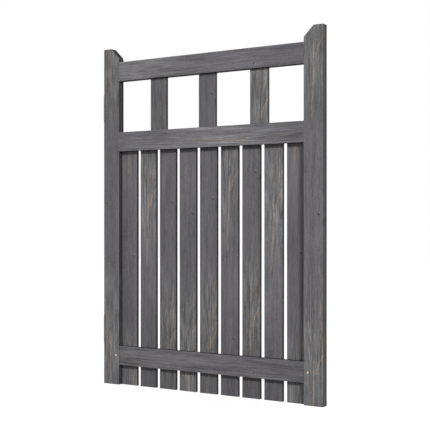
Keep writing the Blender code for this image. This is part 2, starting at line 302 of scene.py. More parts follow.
def turned_mesh(name, profile, sides=ROUND_SIDES):
    """A solid of revolution about Z from (radius, height) pairs, top to bottom."""
    shape = bmesh.new()
    points = [shape.verts.new((radius, 0.0, height)) for radius, height in profile]
    lines = [shape.edges.new(pair) for pair in zip(points, points[1:])]
    bmesh.ops.spin(
        shape,
        geom=points + lines,
        cent=(0, 0, 0),
        axis=(0, 0, 1),
        angle=math.tau,
        steps=sides,
        use_merge=True,
    )
    bmesh.ops.remove_doubles(shape, verts=shape.verts, dist=0.001 * MM)
    bmesh.ops.recalc_face_normals(shape, faces=shape.faces)
    mesh = finish_mesh(name, shape)
    mesh.shade_smooth()
    mesh.set_sharp_from_angle(angle=SMOOTH_ANGLE)
    return mesh


# ---------------------------------------------------------------- shader nodes


class Graph:
    """Short names for building a material's nodes."""

    def __init__(self, tree):
        self.tree = tree

    def node(self, kind, inputs=None, **settings):
        made = self.tree.nodes.new(kind)
        for key, value in settings.items():
            setattr(made, key, value)
        for key, value in (inputs or {}).items():
            self.feed(made.inputs[key], value)
        return made

    def feed(self, socket, value):
        if isinstance(value, bpy.types.NodeSocket):
            self.tree.links.new(value, socket)
        else:
            socket.default_value = value

    def math(self, operation, *values, clamp=False):
        made = self.node("ShaderNodeMath", operation=operation, use_clamp=clamp)
        for socket, value in zip(made.inputs, values):
            self.feed(socket, value)
        return made.outputs[0]

    def mix(self, share, first, second):
        """Colour mix. The node keeps its colour sockets after its float and vector ones."""
        made = self.node("ShaderNodeMix", {0: share, 6: first, 7: second}, data_type="RGBA")
        return made.outputs[2]

    def ramp(self, value, start, end, low=0.0, high=1.0):
        """Smooth change from low to high as the value passes from start to end."""
        made = self.node(
            "ShaderNodeMapRange",
            {"Value": value, "From Min": start, "From Max": end, "To Min": low, "To Max": high},
            interpolation_type="SMOOTHSTEP",
        )
        return made.outputs["Result"]

    def stretched_noise(self, vector, across, along, offset, detail=2.0, roughness=0.55):
        """Noise whose cells are across wide and along long, in metres."""
        scaled = self.node(
            "ShaderNodeMapping",
            {
                "Vector": vector,
                "Scale": (1 / across, 1 / across, 1 / along),
                "Location": (offset, offset * 0.37, offset * 0.71),
            },
        )
        made = self.node(
            "ShaderNodeTexNoise",
            {
                "Vector": scaled.outputs[0],
                "Scale": 1.0,
                "Detail": detail,
                "Roughness": roughness,
            },
        )
        return made.outputs["Fac"]


def new_material(name):
    material = bpy.data.materials.new(name)
    material.use_nodes = True
    material.node_tree.nodes.clear()
    return material, Graph(material.node_tree)


def close_material(graph, colour, roughness, normal, metallic=0.0, specular=0.5):
    shader = graph.node(
        "ShaderNodeBsdfPrincipled",
        {"Base Color": colour, "Roughness": roughness, "Normal": normal},
    )
    shader.inputs["Metallic"].default_value = metallic
    graph.feed(shader.inputs["Specular IOR Level"], specular)
    output = graph.node("ShaderNodeOutputMaterial")
    graph.tree.links.new(shader.outputs[0], output.inputs[0])


# Stained timber colours, linear
STAIN = (0.124, 0.118, 0.128, 1.0)
STAIN_PALE = (0.170, 0.1705, 0.170, 1.0)
TAN = (0.345, 0.252, 0.165, 1.0)
KNOT_LIGHT = (0.300, 0.290, 0.280, 1.0)
FLECK = (0.270, 0.262, 0.250, 1.0)

# Metal colours, linear
GALVANISED = (0.52, 0.53, 0.54)
ZINC = (0.60, 0.60, 0.58)
OXIDE = (0.36, 0.36, 0.35, 1.0)

# The figure that the timber repeats along its grain: a V of stray tan streaks with a long
# tail below its apex, in a paler and livelier stretch, and a pin knot half a repeat away.
REPEAT = 1025 * MM
# Each streak runs from (across, height) to (across, height), bows sideways, and has a width
# and a strength. Millimetres from the apex.
STREAKS = (
    ((0, -10), (1, 44), 0.5, 3.0, 1.00),
    ((1, 74), (2, 128), 0.8, 3.0, 0.50),
    ((10, -3), (20, 37), -1.0, 3.4, 1.00),
    ((20, 34), (34, 62), 1.0, 3.4, 0.85),
    ((31, 62), (32, 128), 0.8, 2.4, 0.50),
    ((31, 28), (29, 52), 0.6, 2.4, 0.50),
    ((23, 96), (24, 168), 0.8, 2.6, 0.85),
    ((24, 182), (24, 232), 0.6, 2.6, 0.75),
    ((24, 236), (25, 345), 0.8, 2.2, 0.35),
    ((-2, -112), (0, -12), 1.5, 5.0, 0.62),
    ((-6, -214), (-2, -104), -1.2, 6.2, 0.40),
    ((-3, 130), (-3, 215), 0.5, 2.2, 0.45),
    ((9, 62), (8, 122), 0.6, 2.0, 0.30),
)
KNOT = (21 * MM, REPEAT / 2 + 5 * MM)
# Pale heart, painted shadow about it and the smudge below it: place from the knot and half sizes,
# in mm
KNOT_SPOTS = (
    ("Knot", (0, 0), (3.2, 3.2)),
    ("Knot Shadow", (-2.5, -4), (7, 7.5)),
    ("Smudge", (17, -32), (10, 24)),
)


# Noises of the grain: cells across and along it in mm, with finer octaves inside them
WANDER_CELL = (60, 75)
FINE_CELL = (2.6, 30)
FIBRE_CELL = (4.6, 90)
BAND_CELL = (14, 330)
CLOUD_CELL = (34, 120)
PATCH_CELL = (9, 60)
FLECK_CELL = (2.6, 22)
GRIT_CELL = (3.6, 5)
DASH_CELL = (4, 75)
NOISE_SPACING = 7.31  # between the noises of two timbers
# How much each shades the stain
FINE_SHADE = 0.18
FIBRE_SHADE = 0.18
BAND_SHADE = 0.17
CLOUD_SHADE = 0.11
GRIT_SHADE = 0.14
PAINTED_KNOT_SHADOW = -0.42
SMUDGE_SHADE = -0.36
# Rails have a closer, longer and stronger grain than uprights, but duller light marks and few
# dark ones
RAIL_CLOSER = 0.65
RAIL_LONGER = 1.8
RAIL_STRONGER = 1.6
RAIL_PALENESS = 0.6
RAIL_DARKEST_DASH = -0.35
# Narrow faces, partly stain and partly painted shade: their rear part, those that look up or
# down, and undersides get more painted shade still
REAR = (14 * MM, 25 * MM)
REAR_PAINTED_SHADE = 0.25
LEVEL_PAINTED_SHADE = 0.42
UNDERSIDE_PAINTED_SHADE = 0.4
SHEEN = 0.25
LEVEL_SHEEN = 0.04
CORNER_SHADE_STRIP = (2.5 * MM, 6.5 * MM)  # the strip of painted shade beside the stile, from its inner face


def float_group(name, inputs, outputs):
    """An empty node group with number sockets, with its graph and its input sockets."""
    tree = bpy.data.node_groups.new(name, "ShaderNodeTree")
    for socket in inputs:
        tree.interface.new_socket(socket, in_out="INPUT", socket_type="NodeSocketFloat")
    for socket in outputs:
        tree.interface.new_socket(socket, in_out="OUTPUT", socket_type="NodeSocketFloat")
    graph = Graph(tree)
    return tree, graph, graph.node("NodeGroupInput").outputs


def streak_mask(graph, across, along, streak):
    """1 on a streak's middle line, falling to 0 at its width and ends."""
    (low_across, low), (high_across, high), bow, width, strength = streak
    t = graph.math("MULTIPLY_ADD", along, 1 / ((high - low) * MM), -low / (high - low))
    middle = graph.math("MULTIPLY_ADD", t, (high_across - low_across) * MM, low_across * MM)
    arc = graph.math("MULTIPLY", t, graph.math("SUBTRACT", 1.0, t))
    middle = graph.math("MULTIPLY_ADD", arc, 4 * bow * MM, middle)
    away = graph.math("ABSOLUTE", graph.math("SUBTRACT", across, middle))
    line = graph.ramp(away, 0.3 * width * MM, width * MM, strength, 0.0)
    line = graph.math("MULTIPLY", line, graph.ramp(t, -0.04, 0.10))
    return graph.math("MULTIPLY", line, graph.ramp(t, 0.85, 1.05, 1.0, 0.0))


def make_figure_group():
    """Tan, liveliness and knot masks at a place on the wood, measured from the apex."""
    tree, graph, given = float_group(
        "wood_figure", ("Across", "Along"), ("Tan", "Lively", "Knot", "Knot Shadow", "Smudge")
    )
    across, along = given["Across"], given["Along"]
    masks = [streak_mask(graph, across, along, streak) for streak in STREAKS]
    tan = masks[0]
    for mask in masks[1:]:
        tan = graph.math("MAXIMUM", tan, mask)
    lively = graph.math(
        "MULTIPLY",
        graph.ramp(along, -230 * MM, 10 * MM),
        graph.ramp(along, 120 * MM, 320 * MM, 1.0, 0.0),
    )
    # The knot sits where the repeat wraps round
    height = graph.math("WRAP", graph.math("SUBTRACT", along, KNOT[1]), REPEAT / 2, -REPEAT / 2)
    sideways = graph.math("SUBTRACT", across, KNOT[0])
    output = graph.node("NodeGroupOutput")
    graph.feed(output.inputs["Tan"], tan)
    graph.feed(output.inputs["Lively"], lively)
    for socket, (right, up), (half_width, half_height) in KNOT_SPOTS:
        x = graph.math("MULTIPLY_ADD", sideways, 1 / (half_width * MM), -right / half_width)
        y = graph.math("MULTIPLY_ADD", height, 1 / (half_height * MM), -up / half_height)
        offset = graph.node("ShaderNodeCombineXYZ", {"X": x, "Y": y}).outputs[0]
        away = graph.node("ShaderNodeVectorMath", {0: offset}, operation="LENGTH")
        mask = graph.ramp(away.outputs["Value"], 0.3, 1.0, 1.0, 0.0)
        graph.feed(output.inputs[socket], mask)
    return tree


FIGURE_GROUP = make_figure_group()


class WoodLook:
    """How one timber looks.

    tones: how light the timber is at the piece's lower or left end, at its middle and at the
    other end.
    apex, shift: where the figure's apex is, from the piece's lower or left end and from its
    middle line, in mm. flip turns the figure left to right.
    tan: the streaks' strength.
    lively, plain: the contrast and paleness of the figured stretch and of the rest.
    edge, outer_edge: how dark the narrow faces are, partly stain and partly painted shade, and
    the one at +X.
    corner: how dark the painted shade on the strip of the front beside the hinge stile is."""

    def __init__(
        self,
        tones,
        apex,
        shift=0.0,
        flip=False,
        tan=1.0,
        lively=1.0,
        plain=0.15,
        edge=0.14,
        outer_edge=None,
        corner=1.0,
    ):
        self.tones = tones
        self.apex = apex * MM
        self.shift = shift * MM
        self.side = -1.0 if flip else 1.0
        self.tan = tan
        self.lively = lively
        self.plain = plain
        self.edge = edge
        self.outer_edge = outer_edge if outer_edge else edge
        self.corner = corner


def grain_place(graph, split, centre, start, axis):
    """How far across, into and along a timber a place is."""
    if axis == "Z":
        across = graph.math("SUBTRACT", split["X"], centre)
        along = graph.math("SUBTRACT", split["Z"], start)
    else:
        across = graph.math("SUBTRACT", centre, split["Z"])
        along = graph.math("SUBTRACT", split["X"], start)
    return across, graph.math("SUBTRACT", split["Y"], LEAF.y), along


def lengthwise_tone(graph, tones, along, length):
    """How light a timber is along its length, through its three tones."""
    first, middle, last = tones
    tone = graph.ramp(along, 0.05 * length, 0.45 * length, first, middle)
    rise = graph.ramp(along, 0.55 * length, 0.95 * length, 0.0, last - middle)
    return graph.math("ADD", tone, rise)


def edge_stain_and_shade(graph, look, facing, depth):
    """Narrow faces are darker than the planed faces: sawn edges and ends hold more stain, and
    on top of that there is painted shade. Faces that look up or down, undersides and the rear
    of the narrow faces get more painted shade.
    """
    tone = graph.ramp(facing["X"], 0.2, 0.6, look.edge, look.outer_edge)
    level = graph.math("ABSOLUTE", facing["Z"])
    for factor in (
        graph.ramp(level, 0.3, 0.7, 1.0, LEVEL_PAINTED_SHADE),
        graph.ramp(facing["Z"], -0.7, -0.3, UNDERSIDE_PAINTED_SHADE, 1.0),
        graph.ramp(depth, *REAR, 1.0, REAR_PAINTED_SHADE),
    ):
        tone = graph.math("MULTIPLY", tone, factor)
    flatness = graph.math("ABSOLUTE", facing["Y"])
    sheen = graph.ramp(level, 0.3, 0.7, SHEEN, LEVEL_SHEEN)
    return graph.ramp(flatness, 0.45, 0.96, tone, 1.0), sheen


def wood_material(name, look, centre, start, length, axis, seed):
    """Stained softwood with its grain along the piece."""
    material, graph = new_material(name)
    place = graph.node("ShaderNodeTexCoord")
    split = graph.node("ShaderNodeSeparateXYZ", {"Vector": place.outputs["Object"]}).outputs
    facing = graph.node("ShaderNodeSeparateXYZ", {"Vector": place.outputs["Normal"]}).outputs
    across, depth, along = grain_place(graph, split, centre, start, axis)
    grain = graph.node("ShaderNodeCombineXYZ", {"X": across, "Y": depth, "Z": along}).outputs[0]
    rail = axis == "X"
    close = RAIL_CLOSER if rail else 1.0
    long = RAIL_LONGER if rail else 1.0

    def layer(number, cell, octaves, narrow=1.0, stretch=1.0, vector=grain):
        """A noise of the grain as a number about 0, mostly within 1 of it."""
        width, run = cell[0] * narrow * MM, cell[1] * stretch * MM
        offset = seed * NOISE_SPACING + number
        value = graph.stretched_noise(vector, width, run, offset, octaves)
        return graph.math("MULTIPLY_ADD", value, 4.0, -2.0)

    wander = layer(0, WANDER_CELL, 1.0)
    fine = layer(2, FINE_CELL, 3.0, close, long)
    fibre = layer(3, FIBRE_CELL, 2.0, close, long)
    band = layer(4, BAND_CELL, 2.0)
    cloud = layer(5, CLOUD_CELL, 2.0)
    patch = layer(7, PATCH_CELL, 2.0, close)
    grit = layer(8, GRIT_CELL, 1.0)
    fleck = layer(9, FLECK_CELL, 1.0, close)

    # Place in the figure, with the grain's wander
    drift = graph.math("MULTIPLY_ADD", wander, 0.9 * MM, -look.shift)
    in_figure = graph.math("MULTIPLY", graph.math("ADD", across, drift), look.side)
    from_apex = graph.math("SUBTRACT", along, look.apex)
    from_apex = graph.math("WRAP", from_apex, REPEAT / 2, -REPEAT / 2)
    figure = graph.node("ShaderNodeGroup", node_tree=FIGURE_GROUP)
    graph.feed(figure.inputs["Across"], in_figure)
    graph.feed(figure.inputs["Along"], from_apex)
    masks = figure.outputs
    lively = graph.math("MULTIPLY_ADD", masks["Lively"], look.lively - look.plain, look.plain)

    # Short dashes that spread a little above the apex
    spread = graph.ramp(from_apex, -60 * MM, 220 * MM, 0.0, 14 * MM)
    folded = graph.math("SUBTRACT", graph.math("ABSOLUTE", in_figure), spread)
    folded = graph.math("MULTIPLY_ADD", graph.math("SIGN", in_figure), 0.3, folded)
    veined = graph.node("ShaderNodeCombineXYZ", {"X": folded, "Y": depth, "Z": along}).outputs[0]
    dash = layer(6, DASH_CELL, 2.0, close, vector=veined)
    if rail:
        dash = graph.math("MAXIMUM", dash, RAIL_DARKEST_DASH)

    shade = graph.math("MULTIPLY", fibre, FIBRE_SHADE)
    shade = graph.math("MULTIPLY_ADD", fine, FINE_SHADE, shade)
    shade = graph.math("MULTIPLY_ADD", band, BAND_SHADE, shade)
    shade = graph.math("MULTIPLY_ADD", shade, RAIL_STRONGER if rail else 1.0, 1.0)
    shade = graph.math("MULTIPLY_ADD", cloud, CLOUD_SHADE, shade)
    shade = graph.math("MULTIPLY_ADD", grit, GRIT_SHADE, shade)
    contrast = graph.math("MULTIPLY", lively, graph.math("MULTIPLY_ADD", patch, 0.10, 0.48))
    shade = graph.math("MULTIPLY_ADD", dash, contrast, shade)
    # Painted shadow about the knot, set off to one side of its pale heart
    painted_knot_shadow = graph.math("SUBTRACT", masks["Knot Shadow"], masks["Knot"])
    painted_knot_shadow = graph.math("MAXIMUM", painted_knot_shadow, 0.0)
    shade = graph.math("MULTIPLY_ADD", painted_knot_shadow, PAINTED_KNOT_SHADOW, shade)
    shade = graph.math("MULTIPLY_ADD", masks["Smudge"], SMUDGE_SHADE, shade)
    shade = graph.math("MULTIPLY", shade, lengthwise_tone(graph, look.tones, along, length))
    if look.corner < 1.0:
        # Painted shade where the front meets the stile
        from_stile = graph.math("SUBTRACT", split["X"], INNER_LEFT)
        painted_corner_shade = graph.ramp(from_stile, *CORNER_SHADE_STRIP, look.corner, 1.0)
        shade = graph.math("MULTIPLY", shade, painted_corner_shade)
    # Narrow faces darkened: partly stain, partly painted shade
    edge, sheen = edge_stain_and_shade(graph, look, facing, depth)
    shade = graph.math("MULTIPLY", shade, edge)

    # Light strokes are greener and dark ones more violet
    pale = graph.math("MULTIPLY_ADD", patch, 0.25, 0.58)
    pale = graph.math("MULTIPLY_ADD", dash, 0.55, pale)
    pale = graph.math("MULTIPLY", pale, RAIL_PALENESS if rail else 1.0)
    pale = graph.math("MULTIPLY", pale, lively, clamp=True)
    colour = graph.mix(pale, STAIN, STAIN_PALE)
    fleck = graph.math("MULTIPLY", graph.ramp(fleck, 0.48, 0.96, 0.0, 0.6), lively)
    colour = graph.mix(fleck, colour, FLECK)
    uneven = graph.ramp(fine, -1.3, 0.8, 0.30, 1.0)
    tan = graph.math("MULTIPLY", masks["Tan"], uneven)
    tan = graph.math("MULTIPLY", tan, graph.ramp(grit, -1.1, 0.7, 0.50, 1.12))
    tan = graph.math("MULTIPLY", tan, look.tan * 0.9, clamp=True)
    colour = graph.mix(tan, colour, TAN)
    colour = graph.mix(graph.math("MULTIPLY", masks["Knot"], 0.85), colour, KNOT_LIGHT)
    scaled = graph.node("ShaderNodeVectorMath", {0: colour, "Scale": shade}, operation="SCALE")

    roughness = graph.math("MULTIPLY_ADD", fibre, 0.05, 0.70)
    height = graph.math("MULTIPLY_ADD", dash, 0.3, fine)
    bump = graph.node("ShaderNodeBump", {"Height": height, "Strength": 0.3, "Distance": 0.1 * MM})
    close_material(graph, scaled.outputs[0], roughness, bump.outputs[0], specular=sheen)
    return material


# ---------------------------------------------------------------- timber pieces


def member_centre(low, high, axis):
    return (low.x + high.x) / 2 if axis == "Z" else (low.z + high.z) / 2


LOOKS = {
    "hinge_stile": WoodLook((0.91, 0.94, 0.92), 153, -4, flip=True, tan=0.8, edge=0.20),
    "latch_stile": WoodLook((0.92, 0.97, 0.90), 107, 1, tan=0.9, lively=0.85, outer_edge=0.34),
    "top_rail": WoodLook((1.25, 1.03, 0.88), 60, 0, tan=0.15, lively=0.85, plain=0.32),
    "middle_rail": WoodLook((0.92, 1.26, 0.79), 508, 12, tan=0.45, lively=0.78, plain=0.60),
    "bottom_rail": WoodLook((0.85, 0.88, 0.74), 60, 0, tan=0.25, lively=0.7, plain=0.45),
    "picket_1": WoodLook((0.75, 0.71, 0.89), -110, 0, tan=0.5, lively=0.6),
    "picket_2": WoodLook((0.91, 0.87, 0.86), -398, 0, tan=0.2, lively=0.4),
    "picket_3": WoodLook((0.89, 0.85, 1.15), 23, 0),
    "board_1": WoodLook((0.76, 0.83, 1.09), -42, 2, tan=0.7, lively=0.8, corner=0.5),
    "board_2": WoodLook((0.68, 0.96, 0.93), 651, -1, tan=0.8),
    "board_3": WoodLook((0.66, 0.83, 0.88), 151, -1),
    "board_4": WoodLook((0.86, 0.78, 1.06), 112, 2, tan=0.9),
    "board_5": WoodLook((0.67, 0.88, 0.90), 162, 0),
    "board_6": WoodLook((0.69, 0.95, 0.84), 708, -1),
    "board_7": WoodLook((0.67, 0.85, 0.89), 249, -2),
    "board_8": WoodLook((0.69, 1.06, 0.91), 642, 0, tan=0.9),
    "board_9": WoodLook((0.85, 0.80, 1.04), -20, 0, tan=0.9, lively=0.8),
}


def timber_piece(node, mesh, axis, seed, low, high):
    start, end = (low.z, high.z) if axis == "Z" else (low.x, high.x)
    centre = member_centre(low, high, axis)
    stain = f"{node}_stain"
    material = wood_material(stain, LOOKS[node], centre, start, end - start, axis, seed)
    return add_piece(f"{node}_timber", mesh, "leaf", [node], material)


def peg_bore(node, low, high):
    """The hole that a peg fills, as a cutter."""
    radius = (high.x - low.x) / 2 + PEG_BORE_CLEARANCE
    depth = high.y - low.y + 2 * PEG_BORE_REACH
    bore = turned_mesh("bore", [(0, depth), (radius, depth), (radius, 0), (0, 0)])
    middle = (low + high) / 2
    turn = Matrix.Rotation(-math.pi / 2, 4, "X")
    bore.transform(Matrix.Translation((middle.x, low.y - PEG_BORE_REACH, middle.z)) @ turn)
    return bore


def make_stiles():
    rails = [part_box(name) for name in ("top_rail", "middle_rail")]
    for seed, node, chamfered_side in ((1, "hinge_stile", 1), (5, "latch_stile", -1)):
        low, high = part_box(node)

        def corners_at(z):
            cut = max(0.0, z - (high.z - STILE_CHAMFER))
            left = low.x + (cut if chamfered_side < 0 else 0.0)
            right = high.x - (cut if chamfered_side > 0 else 0.0)
            return rectangle((left, low.y), (right, high.y))

        def radii_at(z):
            flush = 0.0
            for rail_low, rail_high in rails:
                near = min(z - rail_low.z, rail_high.z - z)
                flush = max(flush, smooth_step(near, FLUSH_START, FLUSH_END))
            front = FRONT_ARRIS + (TIGHT_ARRIS - FRONT_ARRIS) * flush
            back = BACK_ARRIS + (TIGHT_ARRIS - BACK_ARRIS) * flush
            if chamfered_side > 0:
                return (FRONT_ARRIS, front, back, BACK_ARRIS)
            return (front, FRONT_ARRIS, BACK_ARRIS, back)

        marks = [high.z - STILE_CHAMFER]
        for rail_low, rail_high in rails:
            marks += [rail_low.z + FLUSH_START, rail_low.z + FLUSH_END]
            marks += [rail_high.z - FLUSH_END, rail_high.z - FLUSH_START]
        mesh = loft_timber(node, corners_at, radii_at, low.z, high.z, "Z", seed, marks=marks)
        mesh = cut_mesh(mesh, [peg_bore(node, *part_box(f"{node}_peg"))])
        timber_piece(node, mesh, "Z", seed, low, high)


def make_rails():
    board_low, board_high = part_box("board_1")
    start = INNER_LEFT + JOINT_GAP
    end = INNER_RIGHT - JOINT_GAP
    for seed, node in enumerate(("top_rail", "middle_rail", "bottom_rail"), RAIL_SEED):
        low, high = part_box(node)
        corners = rectangle((low.y, low.z), (high.y, high.z))
        radii = [TIGHT_ARRIS, BACK_ARRIS, BACK_ARRIS, FRONT_ARRIS]
        if node == "middle_rail":
            # The boards' top ends sit in a rebate in the back
            step_y = board_low.y - JOINT_GAP
            step_z = board_high.z + JOINT_GAP
            corners = [
                (low.y, low.z),
                (step_y, low.z),
                (step_y, step_z),
                (high.y, step_z),
                (high.y, high.z),
                (low.y, high.z),
            ]
            radii = [*[TIGHT_ARRIS] * 4, BACK_ARRIS, FRONT_ARRIS]
        ease = LEDGE_SHOULDER if node == "bottom_rail" else TIGHT_ARRIS
        mesh = loft_timber(node, lambda x: corners, lambda x: radii, start, end, "X", seed, ease)
        timber_piece(node, mesh, "X", seed, Vector((start, low.y, low.z)), high)


def make_pickets():
    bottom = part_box("middle_rail")[1].z + JOINT_GAP
    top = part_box("top_rail")[0].z - JOINT_GAP
    for index in range(1, PICKET_COUNT + 1):
        node = f"picket_{index}"
        low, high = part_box(node)
        corners = rectangle((low.x, low.y), (high.x, high.y))
        seed = PICKET_SEED + index
        mesh = loft_timber(
            node, lambda z: corners, lambda z: ARRISES, bottom, top, "Z", seed, TIGHT_ARRIS
        )
        timber_piece(node, mesh, "Z", seed, Vector((low.x, low.y, bottom)), high)


def countersink(sides, shank, outward, inward):
    """The hole for a screw's head and shank, as a cutter, with the face that it is in at 0."""
    head = SCREW_HEAD_RADIUS + BORE_CLEARANCE
    profile = [(0, outward), (head, outward), (head, 0)]
    profile += [(shank, -SCREW_HEAD_DEPTH), (shank, -inward), (0, -inward)]
    return turned_mesh("countersink", profile, sides)


def screw_bore(node):
    """The countersunk hole for a board screw's head, as a cutter."""
    low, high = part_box(node)
    middle = (low + high) / 2
    mesh = countersink(24, SCREW_SHANK_RADIUS + BORE_CLEARANCE, *BOARD_CUTTER)
    turn = Matrix.Rotation(-math.pi / 2, 4, "X")
    mesh.transform(Matrix.Translation((middle.x, high.y, middle.z)) @ turn)
    return mesh


def make_boards():
    for index in range(1, BOARD_COUNT + 1):
        node = f"board_{index}"
        low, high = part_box(node)
        corners = rectangle((low.x, low.y), (high.x, high.y))
        seed = BOARD_SEED + index
        mesh = loft_timber(node, lambda z: corners, lambda z: ARRISES, low.z, high.z, "Z", seed)
        bores = [screw_bore(f"board_screw_{end}_{index}") for end in ("top", "bottom")]
        mesh = cut_mesh(mesh, bores)
        timber_piece(node, mesh, "Z", seed, low, high)


# ---------------------------------------------------------------- fasteners


RING_CENTRE = (1.6 * MM, 9 * MM, 0.0)
RING_PITCH = 1.1 * MM


def peg_material(name, warmth, seed):
    """Pale end grain: growth rings about a point beside the peg, and fine pores. Warmth turns
    it from straw to tan."""
    material, graph = new_material(name)
    place = graph.node("ShaderNodeTexCoord").outputs["Object"]
    off_centre = graph.node(
        "ShaderNodeVectorMath", {0: place, 1: RING_CENTRE}, operation="SUBTRACT"
    ).outputs[0]
    flat = graph.node(
        "ShaderNodeVectorMath", {0: off_centre, 1: (1.0, 1.0, 0.0)}, operation="MULTIPLY"
    ).outputs[0]
    radius = graph.node("ShaderNodeVectorMath", {0: flat}, operation="LENGTH").outputs["Value"]
    wobble = graph.stretched_noise(place, 3 * MM, 20 * MM, seed, 2.0)
    radius = graph.math("ADD", radius, graph.math("MULTIPLY", wobble, 0.8 * MM))
    ring = graph.math("FRACT", graph.math("DIVIDE", radius, RING_PITCH))
    pores = graph.stretched_noise(place, 0.35 * MM, 8 * MM, seed + 3, 2.0)
    pale = (0.63, 0.585 - 0.05 * warmth, 0.47 - 0.26 * warmth, 1.0)
    deep = (0.48, 0.41 - 0.04 * warmth, 0.29 - 0.15 * warmth, 1.0)
    colour = graph.mix(graph.math("POWER", ring, 3.0), pale, deep)
    colour = graph.mix(graph.ramp(pores, 0.55, 0.75, 0.0, 0.35), colour, deep)
    roughness = graph.ramp(pores, 0.3, 0.7, 0.55, 0.75)
    bump = graph.node("ShaderNodeBump", {"Height": pores, "Strength": 0.4, "Distance": 0.1 * MM})
    close_material(graph, colour, roughness, bump.outputs[0], specular=0.3)
    return material


def make_pegs():
    for seed, (node, warmth) in enumerate((("hinge_stile_peg", 0.0), ("latch_stile_peg", 0.45))):
        low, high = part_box(node)
        radius = (high.x - low.x) / 2
        length = high.y - low.y
        profile = [(0, length)]
        for step in range(5):
            angle = math.pi / 2 * step / 4
            ease = PEG_EASE * (1 - math.cos(angle))
            profile.append((radius - PEG_EASE + PEG_EASE * math.sin(angle), length - ease))
        profile += [(r, length - h) for r, h in reversed(profile[1:])]
        profile.append((0, 0))
        mesh = turned_mesh(node, profile, PEG_SIDES)
        turn = Matrix.Rotation(-math.pi / 2, 4, "X")
        middle = (low + high) / 2
        place = Matrix.Translation((middle.x, low.y, middle.z)) @ turn
        material = peg_material(f"{node}_wood", warmth, seed * 5.0)
        add_piece(f"{node}_dowel", mesh, "leaf", [node], material, place)


def metal_material(name, base, grain, roughness, seed):
    """Zinc-coated steel: spangles of about the grain's size, dull spots and fine scratches."""
    material, graph = new_material(name)
    place = graph.node("ShaderNodeTexCoord").outputs["Object"]
    spangle = graph.node("ShaderNodeTexVoronoi", {"Vector": place, "Scale": 1 / grain})
    split = graph.node("ShaderNodeSeparateColor", {"Color": spangle.outputs["Color"]})
    tone = graph.ramp(split.outputs["Red"], 0.1, 0.9)
    dull = graph.stretched_noise(place, grain * 1.7, grain * 1.7, seed, 4.0, 0.65)
    scratch = graph.stretched_noise(place, grain * 0.06, grain * 3, seed + 2, 2.0)
    bright = (*(channel * 1.12 for channel in base), 1.0)
    dark = (*(channel * 0.74 for channel in base), 1.0)
    colour = graph.mix(tone, dark, bright)
    colour = graph.mix(graph.ramp(dull, 0.52, 0.72, 0.0, 0.6), colour, OXIDE)
    rough = graph.math("MULTIPLY_ADD", dull, 0.30, roughness)
    bump = graph.node(
        "ShaderNodeBump", {"Height": scratch, "Strength": 0.25, "Distance": 0.05 * MM}
    )
    close_material(graph, colour, rough, bump.outputs[0], metallic=1.0)
    return material


def screw_mesh():
    """A countersunk cross-head screw, its head's face at height 0."""
    profile = [
        (0, 0),
        (SCREW_HEAD_RADIUS - 0.2 * MM, 0),
        (SCREW_HEAD_RADIUS, -0.15 * MM),
        (SCREW_SHANK_RADIUS, -SCREW_HEAD_DEPTH),
        (SCREW_SHANK_RADIUS, SCREW_POINT - SCREW_LENGTH),
        (0, -SCREW_LENGTH),
    ]
    mesh = turned_mesh("screw", profile, SCREW_SIDES)
    # Each blade of the cross is a square cone, narrowed, that starts above the face
    square = Matrix.Translation((0, 0, -RECESS_DEPTH * 0.3)) @ Matrix.Rotation(math.pi / 4, 4, "Z")
    narrow = Matrix.Diagonal((1.0, RECESS_WIDTH / RECESS_REACH, 1.0, 1.0))
    blades = []
    for turn in (0, math.pi / 2):
        shape = bmesh.new()
        bmesh.ops.create_cone(
            shape,
            cap_ends=True,
            segments=4,
            radius1=0.3 * RECESS_REACH,
            radius2=1.2 * RECESS_REACH,
            depth=1.4 * RECESS_DEPTH,
            matrix=square,
        )
        blade = finish_mesh("blade", shape)
        blade.transform(Matrix.Rotation(turn, 4, "Z") @ narrow)
        blades.append(blade)
    return cut_mesh(mesh, blades)


def make_screws(mesh, material):
    for end in ("top", "bottom"):
        for index in range(1, BOARD_COUNT + 1):
            node = f"board_screw_{end}_{index}"
            low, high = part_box(node)
            middle = (low + high) / 2
            spin = Matrix.Rotation(math.radians(index * 37 % 90), 4, "Z")
            place = Matrix.Translation((middle.x, high.y, middle.z))
            place = place @ Matrix.Rotation(-math.pi / 2, 4, "X") @ spin
            add_piece(f"{node}_zinc", mesh, "leaf", [node], material, place)
    for hinge in ("lower", "upper"):
        for index in range(1, HINGE_SCREW_COUNT + 1):
            node = f"{hinge}_hinge_screw_{index}"
            low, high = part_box(node)
            middle = (low + high) / 2
            spin = Matrix.Rotation(math.radians(index * 53 % 90), 4, "Z")
            place = Matrix.Translation((low.x, middle.y, middle.z))
            place = place @ Matrix.Rotation(-math.pi / 2, 4, "Y") @ spin
            add_piece(f"{node}_zinc", mesh, "leaf", [node], material, place)


def flap_plate(low, high):
    """The flat of a flap with its outer corners rounded. It ends an overlap short of the box,
    at its +Y edge, where the knuckles are."""
    shape = bmesh.new()
    arc = [math.pi / 2 * step / 5 for step in range(6)]
    edge = high.y - STRAP_OVERLAP
    outline = [(edge, low.z), (edge, high.z)]
    outline += [
        (low.y + FLAP_CORNER * (1 - math.sin(a)), high.z - FLAP_CORNER * (1 - math.cos(a)))
        for a in arc
    ]
    outline += [
        (low.y + FLAP_CORNER * (1 - math.cos(a)), low.z + FLAP_CORNER * (1 - math.sin(a)))
        for a in arc
    ]
    face = shape.faces.new([shape.verts.new((low.x, y, z)) for y, z in outline])
    grown = bmesh.ops.extrude_face_region(shape, geom=[face])["geom"]
    moved = [item for item in grown if isinstance(item, bmesh.types.BMVert)]
    bmesh.ops.translate(shape, verts=moved, vec=(high.x - low.x, 0, 0))
    bmesh.ops.recalc_face_normals(shape, faces=shape.faces)
    flat = 0.1 * MM
    rim = [e for e in shape.edges if abs(e.verts[0].co.x - e.verts[1].co.x) < flat]
    bmesh.ops.bevel(shape, geom=rim, offset=METAL_EASE, segments=2, profile=0.5, affect="EDGES")
    return finish_mesh("plate", shape)


